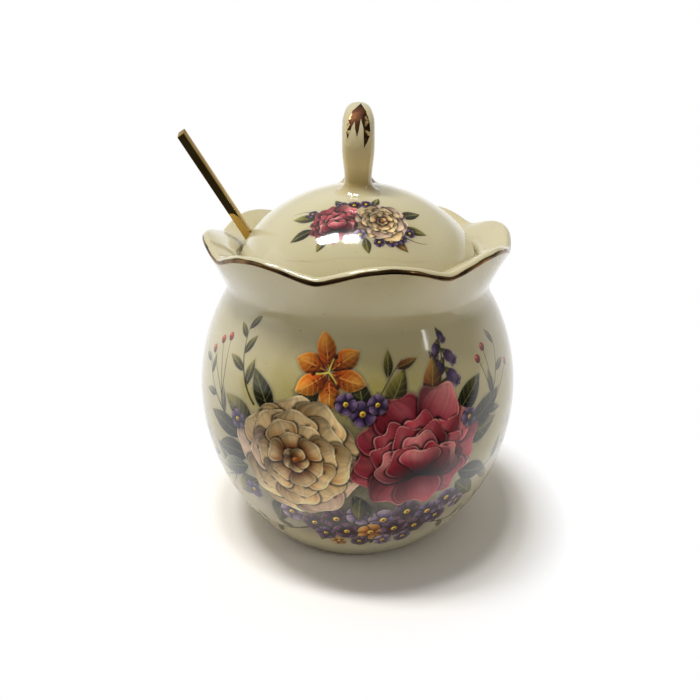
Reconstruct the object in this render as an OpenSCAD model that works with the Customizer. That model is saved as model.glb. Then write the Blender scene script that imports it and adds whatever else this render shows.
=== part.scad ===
// Covered spice jar of glazed ceramic: a round-bellied jar with a wavy, gilded rim,
// a domed lid with a loop handle that sits inside the rim, and a gilt spoon
// that leans out through a notch in the lid. Millimetres, Z up, foot on Z = 0.

/* [Jar] */
// Diameter of the belly at its widest
belly_d = 100; // [94:1:106]
// Height of the widest level above the table
belly_z = 45; // [43:0.5:47]
// Radius of the wall's arc below the widest level
lower_arc_r = 65; // [62:0.5:70]
// Radius of the wall's arc above the widest level
upper_arc_r = 60; // [57:0.5:63]
// How far the neck lies inside the belly's radius
neck_in = 10; // [9.4:0.1:10.6]
// Radius of the hollow curve round the neck
neck_fillet_r = 7.6; // [6:0.2:10]
// Thickness of the wall
wall_t = 5; // [4.6:0.1:5.4]
// Thickness of the floor
floor_t = 4; // [3:0.5:6]
// Width of the foot ring
foot_w = 5; // [3:0.5:8]
// Depth of the recess inside the foot ring
foot_recess = 1.5; // [0.5:0.25:2.5]

/* [Rim] */
// Number of petals round the rim
petals = 8; // [6:1:10]
// Angle of one valley between petals, from the +X side
valley_turn = 31.4; // [0:0.1:45]
// How far the rim's valleys stand outside the neck
rim_out = 4.7; // [4.2:0.1:5.4]
// How far the lid seat lies inside the neck's outside
seat_in = 4.3; // [4:0.1:4.6]
// Height of the lid seat above the neck
seat_rise = 7.4; // [7:0.1:8]
// Width of the ledge that the lid sits on
seat_w = 2.1; // [1.9:0.1:2.4]
// Height of the rim's valleys above the lid seat
valley_rise = 2.7; // [2:0.1:3.4]
// Height of a petal above the valleys
petal_rise = 3.5; // [2:0.1:5]
// How far a petal stands outside the valleys
petal_out = 0.95; // [0.4:0.05:1.4]
// Softness of the valleys, from a sharp nick to a round dip
valley_soft = 0.6; // [0.4:0.02:0.8]
// Thickness of the lip
lip_t = 2.7; // [2.2:0.1:3]
// Thickness of the gilding
gild_t = 0.12; // [0.1:0.01:0.2]

/* [Lid] */
// Gap round the edge of the lid
lid_gap = 0.5; // [0.3:0.05:0.8]
// Height of the lid's edge
brim_t = 1; // [0.8:0.1:2]
// Rise of the dome above its edge
dome_rise = 19.9; // [18:0.1:22]
// Thickness of the lid
lid_t = 3.5; // [3:0.1:4]
// Depth of the skirt that locates the lid in the neck
skirt_h = 8; // [6:0.5:10]
// Thickness of the skirt
skirt_t = 2.8; // [2.4:0.1:3.2]
// Gap between the skirt and the neck
skirt_gap = 0.8; // [0.5:0.1:1.2]
// Width of the notch for the spoon
notch_w = 4.4; // [4.2:0.1:6]

/* [Loop handle] */
// Height of the loop above the top of the dome
loop_h = 22.3; // [20:0.1:24]
// Distance between the middles of the loop's two legs
loop_span = 15.8; // [15:0.1:18]
// Width of the strap at its shoulders
strap_top_w = 9; // [8:0.1:10]
// Width of the strap at the foot of its legs
strap_leg_w = 7.6; // [7:0.1:8.6]
// Thickness of the strap
strap_t = 5; // [4.6:0.1:5.4]
// Radius of the fillet round the foot of each leg
foot_fillet_r = 3; // [2.4:0.1:3.4]

/* [Spoon] */
// Direction in which the spoon leans, from the +X side
spoon_turn = 176; // [160:1:185]
// Lean of the spoon from upright
spoon_tilt = 31.7; // [30:0.1:33]
// Turn of the spoon about its own length
spoon_roll = 6; // [0:1:40]
// Side of the square handle
bar_w = 2.5; // [2.2:0.1:2.8]
// Length of handle above the lid
bar_up = 35.4; // [30:0.2:40]
// Length of the bowl
bowl_l = 38; // [34:0.5:40]
// Width of the bowl
bowl_w = 24; // [20:0.5:26]
// Depth of the bowl
bowl_depth = 5.5; // [4:0.25:6.5]
// Thickness of the bowl
bowl_t = 1; // [0.9:0.05:1.2]
// Height of the bowl's tip above the floor
tip_gap = 1.2; // [1:0.1:2]

/* [Hidden] */
$fn = 96;
ivory = [0.95, 0.93, 0.86];
gold = [0.83, 0.66, 0.25];
// Rounds a length to a thousandth, so that pieces worked out apart meet exactly.
function tidy(v) = round(v * 1000) / 1000;
belly_r = belly_d / 2;
// The arcs above the belly and round the neck touch, which sets the neck's height.
neck_r = belly_r - neck_in;
neck_z = tidy(belly_z + sqrt(2 * neck_in * (upper_arc_r + neck_fillet_r) - neck_in * neck_in));
// The neck's arc bites this far into the belly's, so that they cross cleanly.
bite = 0.006;
neck_c_r = neck_r + neck_fillet_r;
floor_z = foot_recess + floor_t;
foot_r = tidy(belly_r - lower_arc_r + sqrt(lower_arc_r * lower_arc_r - belly_z * belly_z));
bore_r = neck_r - wall_t - bite;
seat_z = neck_z + seat_rise;
seat_r = neck_r - seat_in;
lid_r = seat_r - lid_gap;
mouth_r = seat_r - seat_w;
// The ledge reaches this far into the wall and the collar that carry it.
ledge_bite = 0.6;
rim_r = neck_r + rim_out;
// The wavy collar starts a hair inside the neck, so that the two join cleanly.
collar_r = neck_r - 0.1;
valley_z = seat_z + valley_rise;
lip_r = lip_t / 2;
// Angle between the lip and upright, in a valley and on a petal.
lip_lean_valley = 72;
lip_lean_petal = 60;
// Part of the lip's round that is gilded, in degrees from its outer side.
gild_from = 46;
gild_to = 98;
gild_turns = [for (i = [0 : 3]) gild_from + (gild_to - gild_from) * i / 3];
// The flare below the rim meets the lip's round just under the gilding. It leaves the neck
// upright for a short stretch and runs straight on to the lip for a long one.
flare_turn = gild_from - 4;
flare_low = 0.12;
flare_high = 0.5;
columns = petals * 12;
sunk = 1.5;
// The dome's crown is this much flatter than one arc over the whole dome would be.
crown_flat = 1.07;
dome_r = tidy(crown_flat * (lid_r * lid_r + dome_rise * dome_rise) / (2 * dome_rise));
dome_top = seat_z + brim_t + dome_rise;
dome_cz = dome_top - dome_r;
// A rounder arc, the knuckle, touches the crown part of the way out and ends on the lid's edge.
edge_from_c = [lid_r, dome_r - dome_rise];
knuckle_turn = 0.74 * atan2(edge_from_c[0], edge_from_c[1]);
knuckle_u = [sin(knuckle_turn), cos(knuckle_turn)];
knuckle_chord = norm(dome_r * knuckle_u - edge_from_c);
knuckle_r = tidy(knuckle_chord * knuckle_chord / (2 * (dome_r - edge_from_c * knuckle_u)));
knuckle_reach = dome_r - knuckle_r;
knuckle_c_r = tidy(knuckle_reach * knuckle_u[0]);
knuckle_c_z = tidy(dome_cz + knuckle_reach * knuckle_u[1]);
skirt_r = mouth_r - skirt_gap;
skirt_in_r = skirt_r - skirt_t;
loop_top = dome_top + loop_h;
loop_a = loop_span / 2;
// The strap is rounder on the outside of the loop than on the inside.
strap_out = 0.68 * strap_t;
strap_in = strap_t - strap_out;
// Width of the strap at the crown of the loop, as a share of its shoulders.
crown_share = 0.88;
loop_cz = loop_top - strap_out - loop_a;
// How far each leg leans inward on its way down.
leg_lean = 0.4;
arch_steps = 24;
leg_steps = 3;
strap_sides = 24;
// How far inside the lid's edge the spoon's middle line crosses the outside of the dome.
bar_in = 1.9;
cross_r = lid_r - bar_in;
cross_z = tidy(knuckle_c_z + sqrt(knuckle_r * knuckle_r - pow(cross_r - knuckle_c_r, 2)));
bar_down = (cross_z - floor_z - tip_gap) / cos(spoon_tilt);

function unit(v) = v / norm(v);

function bezier(a, b, c, d, t) =
  pow(1 - t, 3) * a + 3 * t * pow(1 - t, 2) * b + 3 * t * t * (1 - t) * c + pow(t, 3) * d;

// Height of the rim's wave at an angle, from 0 in a valley to 1 on a petal.
function wave(angle) =
  let (s = pow(sin(petals / 2 * (angle - valley_turn)), 2), e = valley_soft)
  (sqrt(s + e * e) - e) / (sqrt(1 + e * e) - e);

// Direction along the lip and direction across it to the outer side, as [radius, height].
function lip_along(w) =
  let (lean = lip_lean_valley + (lip_lean_petal - lip_lean_valley) * w)
  [sin(lean), cos(lean)];

function lip_across(w) =
  let (along = lip_along(w))
  [along[1], -along[0]];

// Middle of the lip's round.
function lip_middle(w) =
  [rim_r + petal_out * w, valley_z + petal_rise * pow(w, 0.82)]
  - lip_r * (cos(40) * lip_across(w) + sin(40) * lip_along(w));

function lip_point(w, turn, r) =
  lip_middle(w) + r * (cos(turn) * lip_across(w) + sin(turn) * lip_along(w));

// Outline of the collar at one level of the wave: up the outer flare, round the lip, down to the seat.
function collar_outline(w) =
  let (
    neck = [collar_r, neck_z],
    outer = lip_point(w, flare_turn, lip_r),
    outer_along = cos(flare_turn) * lip_along(w) - sin(flare_turn) * lip_across(w),
    inner = lip_point(w, 180, lip_r),
    seat = [seat_r, seat_z - 0.4],
    reach_out = norm(outer - neck),
    reach_in = 0.33 * norm(inner - seat)
  )
  concat(
    [[seat_r, neck_z - sunk], [collar_r, neck_z - sunk]],
    [for (i = [0 : 6]) bezier(
      neck, neck + [0, flare_low * reach_out], outer - flare_high * reach_out * outer_along, outer, i / 7)],
    [for (turn = concat([flare_turn], gild_turns, [120, 150])) lip_point(w, turn, lip_r)],
    [for (i = [0 : 5]) bezier(
      inner, inner - reach_in * lip_along(w), seat + [0, reach_in], seat, i / 5)]
  );

// Outline of the gilding: the lip's own points in the collar's order, so that the two
// have the same facets, then the same points raised by its thickness.
function gild_outline(w) =
  concat(
    [for (turn = gild_turns) lip_point(w, turn, lip_r)],
    [for (i = [len(gild_turns) - 1 : -1 : 0]) lip_point(w, gild_turns[i], lip_r + gild_t)]
  );

// Ring-shaped solid from one closed outline in each column, drawn either way round.
module wavy_ring(outlines, backward = false) {
  n = len(outlines);
  m = len(outlines[0]);
  points = [
    for (i = [0 : n - 1]) for (p = outlines[i])
      [p[0] * cos(360 * i / n), p[0] * sin(360 * i / n), p[1]]
  ];
  faces = [
    for (i = [0 : n - 1]) for (j = [0 : m - 1])
      let (a = i * m + j, b = i * m + (j + 1) % m, c = (i + 1) % n * m + (j + 1) % m, d = (i + 1) % n * m + j)
      for (f = [[a, b, c], [a, c, d]]) backward ? [f[2], f[1], f[0]] : f
  ];
  polyhedron(points = points, faces = faces, convexity = 8);
}

// Height at which the arcs above the belly and round the neck touch, for a wall set in by an amount.
function join_z(inset) =
  tidy(belly_z + (neck_z - belly_z) * (upper_arc_r - inset) / (upper_arc_r + neck_fillet_r));

// Half section of the jar, filled, set in from its outside by an amount.
module wall_outline(inset) {
  difference() {
    union() {
      intersection() {
        translate([belly_r - lower_arc_r, belly_z])
          circle(r = lower_arc_r - inset);
        square([belly_r, belly_z]);
      }
      intersection() {
        translate([belly_r - upper_arc_r, belly_z])
          circle(r = upper_arc_r - inset);
        translate([0, belly_z])
          square([belly_r, join_z(inset) - belly_z + 0.5]);
      }
      translate([0, join_z(inset)])
        square([neck_c_r, neck_z - join_z(inset)]);
    }
    translate([neck_c_r, neck_z])
      circle(r = neck_fillet_r + inset + bite);
  }
}

module jar_section() {
  difference() {
    wall_outline(0);
    intersection() {
      wall_outline(wall_t);
      translate([0, floor_z])
        square([belly_r, neck_z]);
    }
    translate([0, -1])
      square([foot_r - foot_w, foot_recess + 1]);
  }
  polygon([
    [mouth_r, seat_z], [mouth_r, neck_z], [bore_r + ledge_bite, neck_z - (bore_r + ledge_bite - mouth_r)],
    [seat_r + ledge_bite, neck_z - sunk], [seat_r + ledge_bite, seat_z]
  ]);
}

module jar_body() {
  color(ivory)
  union() {
    rotate_extrude()
      jar_section();
    wavy_ring([for (i = [0 : columns - 1]) collar_outline(wave(360 * i / columns))]);
  }
}

module rim_gilding() {
  color(gold)
    wavy_ring([for (i = [0 : columns - 1]) gild_outline(wave(360 * i / columns))], backward = true);
}

// Half section of the dome, filled, set in from its outside by an amount. The top arc holds
// inside the line through the two middles, and the knuckle's arc outside it.
module dome_outline(inset) {
  beyond = 1.2 * dome_r / knuckle_reach;
  line_end = [beyond * knuckle_c_r, dome_cz + beyond * (knuckle_c_z - dome_cz)];
  intersection() {
    translate([0, dome_cz])
      circle(r = dome_r - inset);
    union() {
      polygon([[0, dome_cz], line_end, [line_end[0], dome_top + 1], [0, dome_top + 1]]);
      translate([knuckle_c_r, knuckle_c_z])
        circle(r = knuckle_r - inset + bite);
    }
  }
}

module lid_section() {
  difference() {
    union() {
      intersection() {
        dome_outline(0);
        translate([0, seat_z])
          square([lid_r, brim_t + dome_rise + 1]);
      }
      translate([skirt_in_r, seat_z - skirt_h])
        square([skirt_t, skirt_h + lid_t]);
    }
    intersection() {
      dome_outline(lid_t);
      translate([0, seat_z - skirt_h - 1])
        square([skirt_in_r, dome_top]);
    }
  }
}

// Puts a shape drawn along Z on the spoon's leaning middle line, with X outward.
module on_spoon_line() {
  rotate([0, 0, spoon_turn])
  translate([cross_r, 0, cross_z])
  rotate([0, spoon_tilt, 0])
    children();
}

module lid_dome() {
  color(ivory)
  difference() {
    rotate_extrude()
      lid_section();
    on_spoon_line()
    translate([0, 0, -30])
    union() {
      cylinder(d = notch_w, h = 60);
      translate([0, -notch_w / 2, 0])
        cube([30, notch_w, 60]);
    }
  }
}

function smooth(t) =
  let (c = min(1, max(0, t)))
  c * c * (3 - 2 * c);

// Height of the outside of the dome.
function dome_z(x, y) = dome_cz + sqrt(dome_r * dome_r - x * x - y * y);

// Offsets across and outward of one point of the strap's section, from its middle.
function strap_offset(k, half_w, grow) =
  let (
    c = cos(360 * k / strap_sides),
    t = sin(360 * k / strap_sides),
    half_t = (t > 0 ? strap_out : strap_in) + grow
  )
  [(half_w + grow) * sign(c) * pow(abs(c), 0.9), half_t * sign(t) * pow(abs(t), 0.9)];

// Section of the arch at an angle from the crown, below 0 in front.
function arch_ring(turn, grow) =
  let (
    half_w = strap_top_w / 2 * (crown_share + (1 - crown_share) * smooth(abs(turn) / 45)),
    out = [0, sin(turn), cos(turn)]
  )
  [
    for (k = [0 : strap_sides - 1])
      let (o = strap_offset(k, half_w, grow))
      [o[0], 0, loop_cz] + (loop_a + o[1]) * out
  ];

// Section of a leg, at a share of the way down to the fillet at its foot.
function leg_ring(side, share, grow) =
  let (half_w = strap_top_w / 2 + (strap_leg_w - strap_top_w) / 2 * smooth(share))
  [
    for (k = [0 : strap_sides - 1])
      let (
        o = strap_offset(k, half_w, grow),
        y = side * (loop_a - leg_lean * share + o[1])
      )
      [o[0], y, loop_cz + share * (dome_z(o[0], y) + foot_fillet_r - loop_cz)]
  ];

// Section of a foot, at a height over the dome and as far outside the leg as the flare says.
function foot_ring(side, height, flare) =
  [
    for (k = [0 : strap_sides - 1])
      let (o = strap_offset(k, strap_leg_w / 2, flare), y = side * (loop_a - leg_lean + o[1]))
      [o[0], y, dome_z(o[0], y) + height]
  ];

// Sections of one leg from the arch down into the dome.
function leg_rings(side, grow) =
  concat(
    [for (i = [1 : leg_steps]) leg_ring(side, i / leg_steps, grow)],
    [
      for (turn = [15 : 15 : 75])
        foot_ring(side, foot_fillet_r * (1 - sin(turn)), foot_fillet_r * (1 - cos(turn)) + grow)
    ],
    [foot_ring(side, -sunk, foot_fillet_r * (1 - cos(75)) + grow)]
  );

function reversed(list) = [for (i = [len(list) - 1 : -1 : 0]) list[i]];

// Solid through a row of rings, closed at both ends.
module lofted(rings) {
  n = len(rings);
  m = len(rings[0]);
  points = [for (ring = rings) for (p = ring) p];
  sides = [
    for (i = [0 : n - 2]) for (j = [0 : m - 1])
      let (a = i * m + j, b = i * m + (j + 1) % m, c = (i + 1) * m + (j + 1) % m, d = (i + 1) * m + j)
      for (f = [[a, b, c], [a, c, d]]) f
  ];
  first = [for (j = [m - 1 : -1 : 0]) j];
  last = [for (j = [0 : m - 1]) (n - 1) * m + j];
  polyhedron(points = points, faces = concat(sides, [first, last]), convexity = 8);
}

module strap(grow) {
  lofted(concat(
    reversed(leg_rings(-1, grow)),
    [for (i = [0 : arch_steps]) arch_ring(180 * i / arch_steps - 90, grow)],
    leg_rings(1, grow)
  ));
}

module lid_handle() {
  color(ivory)
  difference() {
    strap(0);
    translate([0, 0, dome_cz])
      sphere(r = dome_r);
  }
}

// Three brush strokes from the crown down the front of the loop, seen from the front,
// in tenths of the strap's width and of the loop's height.
module brush_strokes() {
  translate([0, loop_top])
  scale([strap_top_w / 10, loop_h / 10])
    polygon([
      [0.7, -0.15], [-1.8, -1.1], [-3.2, -2.4], [-3.7, -3.4], [-3.4, -4.8], [-2.1, -3.2],
      [-1.1, -2.35], [-1.2, -3.3], [-0.4, -4.4], [0.2, -3.3], [0.7, -2], [1.7, -3.3],
      [1.8, -4.6], [1.7, -5.9], [2.8, -5], [3.6, -4.1], [3.4, -2.5], [2.3, -1.1]
    ]);
}

// What lies inside the middle line of the loop, which stays bare.
module inside_of_loop() {
  translate([-strap_top_w, 0, loop_cz])
  rotate([0, 90, 0])
    cylinder(r = loop_a, h = 2 * strap_top_w);
  translate([-strap_top_w, -loop_a, dome_top])
    cube([2 * strap_top_w, 2 * loop_a, loop_cz - dome_top]);
}

module handle_gilding() {
  color(gold)
  intersection() {
    difference() {
      strap(gild_t);
      strap(0);
      inside_of_loop();
    }
    translate([0, 1.5, 0])
    rotate([90, 0, 0])
    linear_extrude(height = loop_a + strap_t + 3)
      brush_strokes();
  }
}

// The spoon is drawn along Z with its hollow side to +X and the rim of its bowl on X = 0.
module spoon_place() {
  on_spoon_line()
  rotate([0, 0, 180 - spoon_roll])
    children();
}

module spoon_handle() {
  cut = 0.1 * bar_w;
  h = bar_w / 2;
  color(gold)
  spoon_place()
  difference() {
    translate([0, 0, bowl_l - bar_down - 2])
    linear_extrude(height = bar_down - bowl_l + 2 + bar_up)
      polygon([
        [h, cut - h], [h, h - cut], [h - cut, h], [cut - h, h],
        [-h, h - cut], [-h, cut - h], [cut - h, -h], [h - cut, -h]
      ]);
    bowl_shell();
  }
}

// Point of the bowl's hollow side, at a share of the way out and an angle from the handle.
function bowl_point(share, angle) =
  let (
    y = bowl_w / 2 * share * sin(angle) * (1 - 0.1 * cos(angle)),
    z = bowl_l / 2 * share * cos(angle)
  )
  [-bowl_depth * (1 - share * share), y, z];

// Direction through the bowl's sheet to its round side.
function bowl_back(share, angle) =
  unit([
    -1,
    4 * bowl_depth * share * sin(angle) / bowl_w,
    4 * bowl_depth * share * cos(angle) / bowl_l
  ]);

module bowl_shell() {
  rings = 7;
  sides = 40;
  inner = [
    for (i = [rings : -1 : 1]) [for (k = [0 : sides - 1]) bowl_point(i / rings, 360 * k / sides)]
  ];
  outer = [
    for (i = [1 : rings]) [
      for (k = [0 : sides - 1])
        bowl_point(i / rings, 360 * k / sides) + bowl_t * bowl_back(i / rings, 360 * k / sides)
    ]
  ];
  shell = concat(outer, inner);
  n = len(shell);
  points = concat(
    [for (ring = shell) for (p = ring) p],
    [bowl_point(0, 0) + bowl_t * bowl_back(0, 0), bowl_point(0, 0)]
  );
  side_faces = [
    for (i = [0 : n - 2]) for (k = [0 : sides - 1])
      let (a = i * sides + k, b = i * sides + (k + 1) % sides, c = a + sides, d = b + sides)
      for (f = [[a, b, d], [a, d, c]]) f
  ];
  caps = [
    for (k = [0 : sides - 1])
      let (l = (k + 1) % sides, e = (n - 1) * sides)
      for (f = [[n * sides, l, k], [n * sides + 1, e + k, e + l]]) f
  ];
  translate([0, 0, bowl_l / 2 - bar_down])
    polyhedron(points = points, faces = concat(side_faces, caps), convexity = 6);
}

module spoon_bowl() {
  color(gold)
  spoon_place()
    bowl_shell();
}

jar_body();
rim_gilding();
lid_dome();
lid_handle();
handle_gilding();
spoon_handle();
spoon_bowl();
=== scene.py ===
"""Looks of a covered ceramic spice jar: ivory glaze, gold lustre, a printed bouquet and a gilt spoon."""
import math

import bpy
import numpy as np
from mathutils import Matrix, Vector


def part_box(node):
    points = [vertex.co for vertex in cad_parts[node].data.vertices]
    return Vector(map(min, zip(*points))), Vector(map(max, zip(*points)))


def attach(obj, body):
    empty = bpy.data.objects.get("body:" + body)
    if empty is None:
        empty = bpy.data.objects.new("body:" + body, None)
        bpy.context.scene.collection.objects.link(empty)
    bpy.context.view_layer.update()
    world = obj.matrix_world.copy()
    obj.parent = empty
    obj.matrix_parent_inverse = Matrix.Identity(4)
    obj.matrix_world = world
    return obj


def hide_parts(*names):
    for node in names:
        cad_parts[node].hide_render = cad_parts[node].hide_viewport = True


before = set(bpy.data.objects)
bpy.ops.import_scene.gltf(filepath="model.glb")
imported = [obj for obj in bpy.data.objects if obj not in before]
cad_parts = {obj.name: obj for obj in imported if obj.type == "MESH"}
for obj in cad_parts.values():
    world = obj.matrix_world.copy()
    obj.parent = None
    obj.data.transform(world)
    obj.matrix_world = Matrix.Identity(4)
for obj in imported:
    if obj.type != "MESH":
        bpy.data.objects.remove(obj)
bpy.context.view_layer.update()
MM = 0.001
QUARTER = math.pi / 2

# Jar, in millimetres, as in the solids
BELLY_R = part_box("jar_body")[1][0] / MM
BELLY_Z = 45.0
LOWER_ARC_R = 65.0
UPPER_ARC_R = 60.0
NECK_IN = 10.0
NECK_FILLET_R = 7.6
WALL_T = 5.0
FLOOR_T = 4.0
FOOT_W = 5.0
FOOT_RECESS = 1.5
NECK_R = BELLY_R - NECK_IN
NECK_Z = BELLY_Z + math.sqrt(2 * NECK_IN * (UPPER_ARC_R + NECK_FILLET_R) - NECK_IN ** 2)
FLOOR_Z = FOOT_RECESS + FLOOR_T
LOWER_C = (BELLY_R - LOWER_ARC_R, BELLY_Z)
UPPER_C = (BELLY_R - UPPER_ARC_R, BELLY_Z)
NECK_C = (NECK_R + NECK_FILLET_R, NECK_Z)
FOOT_R = LOWER_C[0] + math.sqrt(LOWER_ARC_R ** 2 - BELLY_Z ** 2)
SHOULDER_TURN = math.atan2(NECK_Z - BELLY_Z, NECK_C[0] - UPPER_C[0])

# Rim; turns about the lip's round are in degrees from its outer side
PETALS = 8
VALLEY_TURN = math.radians(31.4)
RIM_OUT = 4.7
SEAT_IN = 4.3
SEAT_RISE = 7.4
SEAT_W = 2.1
VALLEY_RISE = 2.7
PETAL_RISE = 3.5
PETAL_POWER = 0.82
PETAL_OUT = 0.95
VALLEY_SOFT = 0.6
LIP_R = 1.35
LIP_LEAN = np.radians([72.0, 60.0])
LIP_EDGE_TURN = 40.0
LIP_INNER_TURN = 180.0
GILD_FROM, GILD_TO = 46.0, 98.0
GILD_T = 0.1
GILD_LIFT = 0.005
FLARE_TURN = GILD_FROM - 4.0
FLARE_LOW, FLARE_HIGH = 0.12, 0.5
INSIDE_BEND = 0.33
SEAT_Z = NECK_Z + SEAT_RISE
SEAT_R = NECK_R - SEAT_IN
MOUTH_R = SEAT_R - SEAT_W
RIM_R = NECK_R + RIM_OUT
VALLEY_Z = SEAT_Z + VALLEY_RISE
# Unevenness of the brush at the gold line's two edges: degrees, waves round the rim and phase
LOW_BRUSH = ((2.0, 9, 1.0), (1.5, 31, 0.0))
HIGH_BRUSH = ((4.0, 13, 0.0), (3.0, 41, 2.0))

# Lid
LID_GAP = 0.5
BRIM_T = 1.0
DOME_RISE = 19.9
CROWN_FLAT = 1.07
KNUCKLE_SHARE = 0.74
LID_T = 3.5
SKIRT_H = 8.0
SKIRT_GAP = 0.8
SKIRT_T = 2.8
NOTCH_W = 4.4
NOTCH_REACH = 30.0
LID_R = SEAT_R - LID_GAP
DOME_R = CROWN_FLAT * (LID_R ** 2 + DOME_RISE ** 2) / (2 * DOME_RISE)
SKIRT_R = MOUTH_R - SKIRT_GAP
SKIRT_IN_R = SKIRT_R - SKIRT_T
DOME_TOP = SEAT_Z + BRIM_T + DOME_RISE
DOME_CZ = DOME_TOP - DOME_R
# A rounder arc, the knuckle, touches the crown part of the way out and ends on the lid's edge
KNUCKLE_TURN = KNUCKLE_SHARE * math.atan2(LID_R, DOME_R - DOME_RISE)
KNUCKLE_WAY = np.array([math.sin(KNUCKLE_TURN), math.cos(KNUCKLE_TURN)])
LID_EDGE = np.array([LID_R, DOME_R - DOME_RISE])
KNUCKLE_R = math.dist(DOME_R * KNUCKLE_WAY, LID_EDGE) ** 2 / (2 * (DOME_R - LID_EDGE @ KNUCKLE_WAY))
KNUCKLE_CR, KNUCKLE_CZ = (DOME_R - KNUCKLE_R) * KNUCKLE_WAY + [0, DOME_CZ]

# Loop handle
LOOP_H = 22.3
LOOP_SPAN = 15.8
STRAP_T = 5.0
STRAP_TOP_W, STRAP_LEG_W = 9.0, 7.6
STRAP_OUT = 0.68 * STRAP_T
STRAP_IN = STRAP_T - STRAP_OUT
STRAP_SIDES = 64
SECTION_POWER = 0.9
CROWN_SHARE = 0.88
CROWN_TURN = math.radians(45)
FOOT_FILLET_R = 3.0
FOOT_SUNK = 1.5
LEG_LEAN = 0.4
LOOP_TOP = DOME_TOP + LOOP_H
LOOP_A = LOOP_SPAN / 2
LOOP_CZ = LOOP_TOP - STRAP_OUT - LOOP_A
# Upper and lower outline of the gold strokes, on a drawing of the loop of this width and height
DRAWN_W, DRAWN_H = 10.0, 11.6
STROKES_TOP = ((-3.7, -3.4), (-3.2, -2.4), (-1.8, -1.1), (0.7, -0.15), (2.3, -1.1), (3.4, -2.5),
               (3.6, -4.1))
STROKES_LOW = ((-3.7, -3.4), (-3.4, -4.8), (-2.1, -3.2), (-1.1, -2.35), (-1.0, -3.3), (-0.4, -4.4),
               (0.2, -3.3), (0.7, -2.0), (1.55, -3.3), (1.65, -4.6), (1.75, -5.9), (2.8, -5.0), (3.6, -4.1))

# Spoon
SPOON_TURN = math.radians(176)
SPOON_TILT = math.radians(31.7)
SPOON_ROLL = math.radians(6)
BAR_W = 2.5
BAR_UP = 35.4
BAR_IN = 1.9
BAR_SUNK = 1.5
BOWL_L, BOWL_W, BOWL_DEPTH, BOWL_T = 38.0, 24.0, 5.5, 1.0
BOWL_EGG = 0.1
BOWL_SIDES = 96
TIP_GAP = 1.2
CROSS_R = LID_R - BAR_IN
CROSS_Z = KNUCKLE_CZ + math.sqrt(KNUCKLE_R ** 2 - (CROSS_R - KNUCKLE_CR) ** 2)
BAR_DOWN = (CROSS_Z - FLOOR_Z - TIP_GAP) / math.cos(SPOON_TILT)

# Roundings and other small detail that the solids leave out
CORNER_SHARE = 0.45
AXIS_GAP = 0.05
POLE_GAP = 0.001
FOOT_ROUND = 1.2
FOOT_SLOPE = 0.6
FOOT_EDGE_IN = 0.2
SEAT_ROUND = 0.6
FLOOR_ROUND = 2.0
FLOOR_EDGE_IN = 1.6
LID_ROUND = 0.7
LID_EDGE_RISE = 0.5
LID_CREASE, BAR_CREASE = math.radians(40), math.radians(30)
BAR_ROUND = 0.12
END_SLANT = 1.0
# The bar narrows at both ends, at the upper one by distances below it and shares of the bar's width
FOOT_BEVEL, FOOT_SHARE = 0.3, 0.9
END_BEVEL = ((0.25, 1.0), (0.08, 0.96), (0.0, 0.88))
# Its straight part stops this far below the slanted end
END_CLEAR = 0.4
# The bowl's middle is a small flat cap, and its edge bulges a little
BOWL_CAP = 0.02
BOWL_BULGE = 1.012

# Camera of the photograph, in millimetres and degrees
CAMERA_AT = (0.0, -196.6, 138.22)
CAMERA_PITCH = 22.743
CAMERA_YAW = 0.69
CAMERA_LENS = 33.915
SENSOR_W = 36.0
NEAR_CLIP = 10.0


def smooth(t):
    """An even ease from 0 to 1."""
    t = np.clip(t, 0, 1)
    return t * t * (3 - 2 * t)


def around(count):
    """Evenly spaced angles of a full turn."""
    return np.arange(count) * 2 * math.pi / count


def arc(centre, radius, start, end, steps):
    """Points on an arc in the radius and height plane, angles in radians."""
    a = np.linspace(start, end, steps)
    return np.stack([centre[0] + radius * np.cos(a), centre[1] + radius * np.sin(a)], 1)


def bowed(start, bow, end, share):
    """A point on a curve that is bowed towards a middle point, or several for a column of shares."""
    return (1 - share) ** 2 * start + 2 * share * (1 - share) * bow + share ** 2 * end


def bezier(a, b, c, d, steps):
    """Points on a curve from a to d that sets out towards b and comes in from c."""
    t = np.linspace(0, 1, steps)[:, None]
    return (1 - t) ** 3 * a + 3 * t * (1 - t) ** 2 * b + 3 * t * t * (1 - t) * c + t ** 3 * d


def rounded(corners, radius, steps=5):
    """A row of corner points with every inner corner rounded."""
    corners = [np.array(c, float) for c in corners]
    shares = np.linspace(0, 1, steps)[:, None]
    out = [corners[0]]
    for before, at, after in zip(corners, corners[1:], corners[2:]):
        sides = before - at, after - at
        reach = min(radius, *(CORNER_SHARE * np.linalg.norm(side) for side in sides))
        start, end = (at + side / np.linalg.norm(side) * reach for side in sides)
        out.extend(bowed(start, at, end, shares))
    out.append(corners[-1])
    return np.array(out)


def joined(first, *others):
    """One row of points from stretches that each start where the one before ends."""
    return np.concatenate([first, *(row[1:] for row in others)])


def grid_faces(rows, columns, wrap_rows=False, wrap_columns=False):
    """Quads of a grid of points stored row by row."""
    r = np.arange(rows if wrap_rows else rows - 1)
    c = np.arange(columns if wrap_columns else columns - 1)
    r, c = np.meshgrid(r, c, indexing="ij")
    r2, c2 = (r + 1) % rows, (c + 1) % columns
    quads = np.stack([r * columns + c, r * columns + c2, r2 * columns + c2, r2 * columns + c], -1)
    return quads.reshape(-1, 4).tolist()


def tube_faces(rings, sides):
    """Faces of a closed tube: quads between its rings and a cap on each end."""
    last = (rings - 1) * sides
    caps = [tuple(range(sides - 1, -1, -1)), tuple(range(last, last + sides))]
    return grid_faces(rings, sides, wrap_columns=True) + caps


def flipped(faces):
    return [tuple(reversed(face)) for face in faces]


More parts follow.
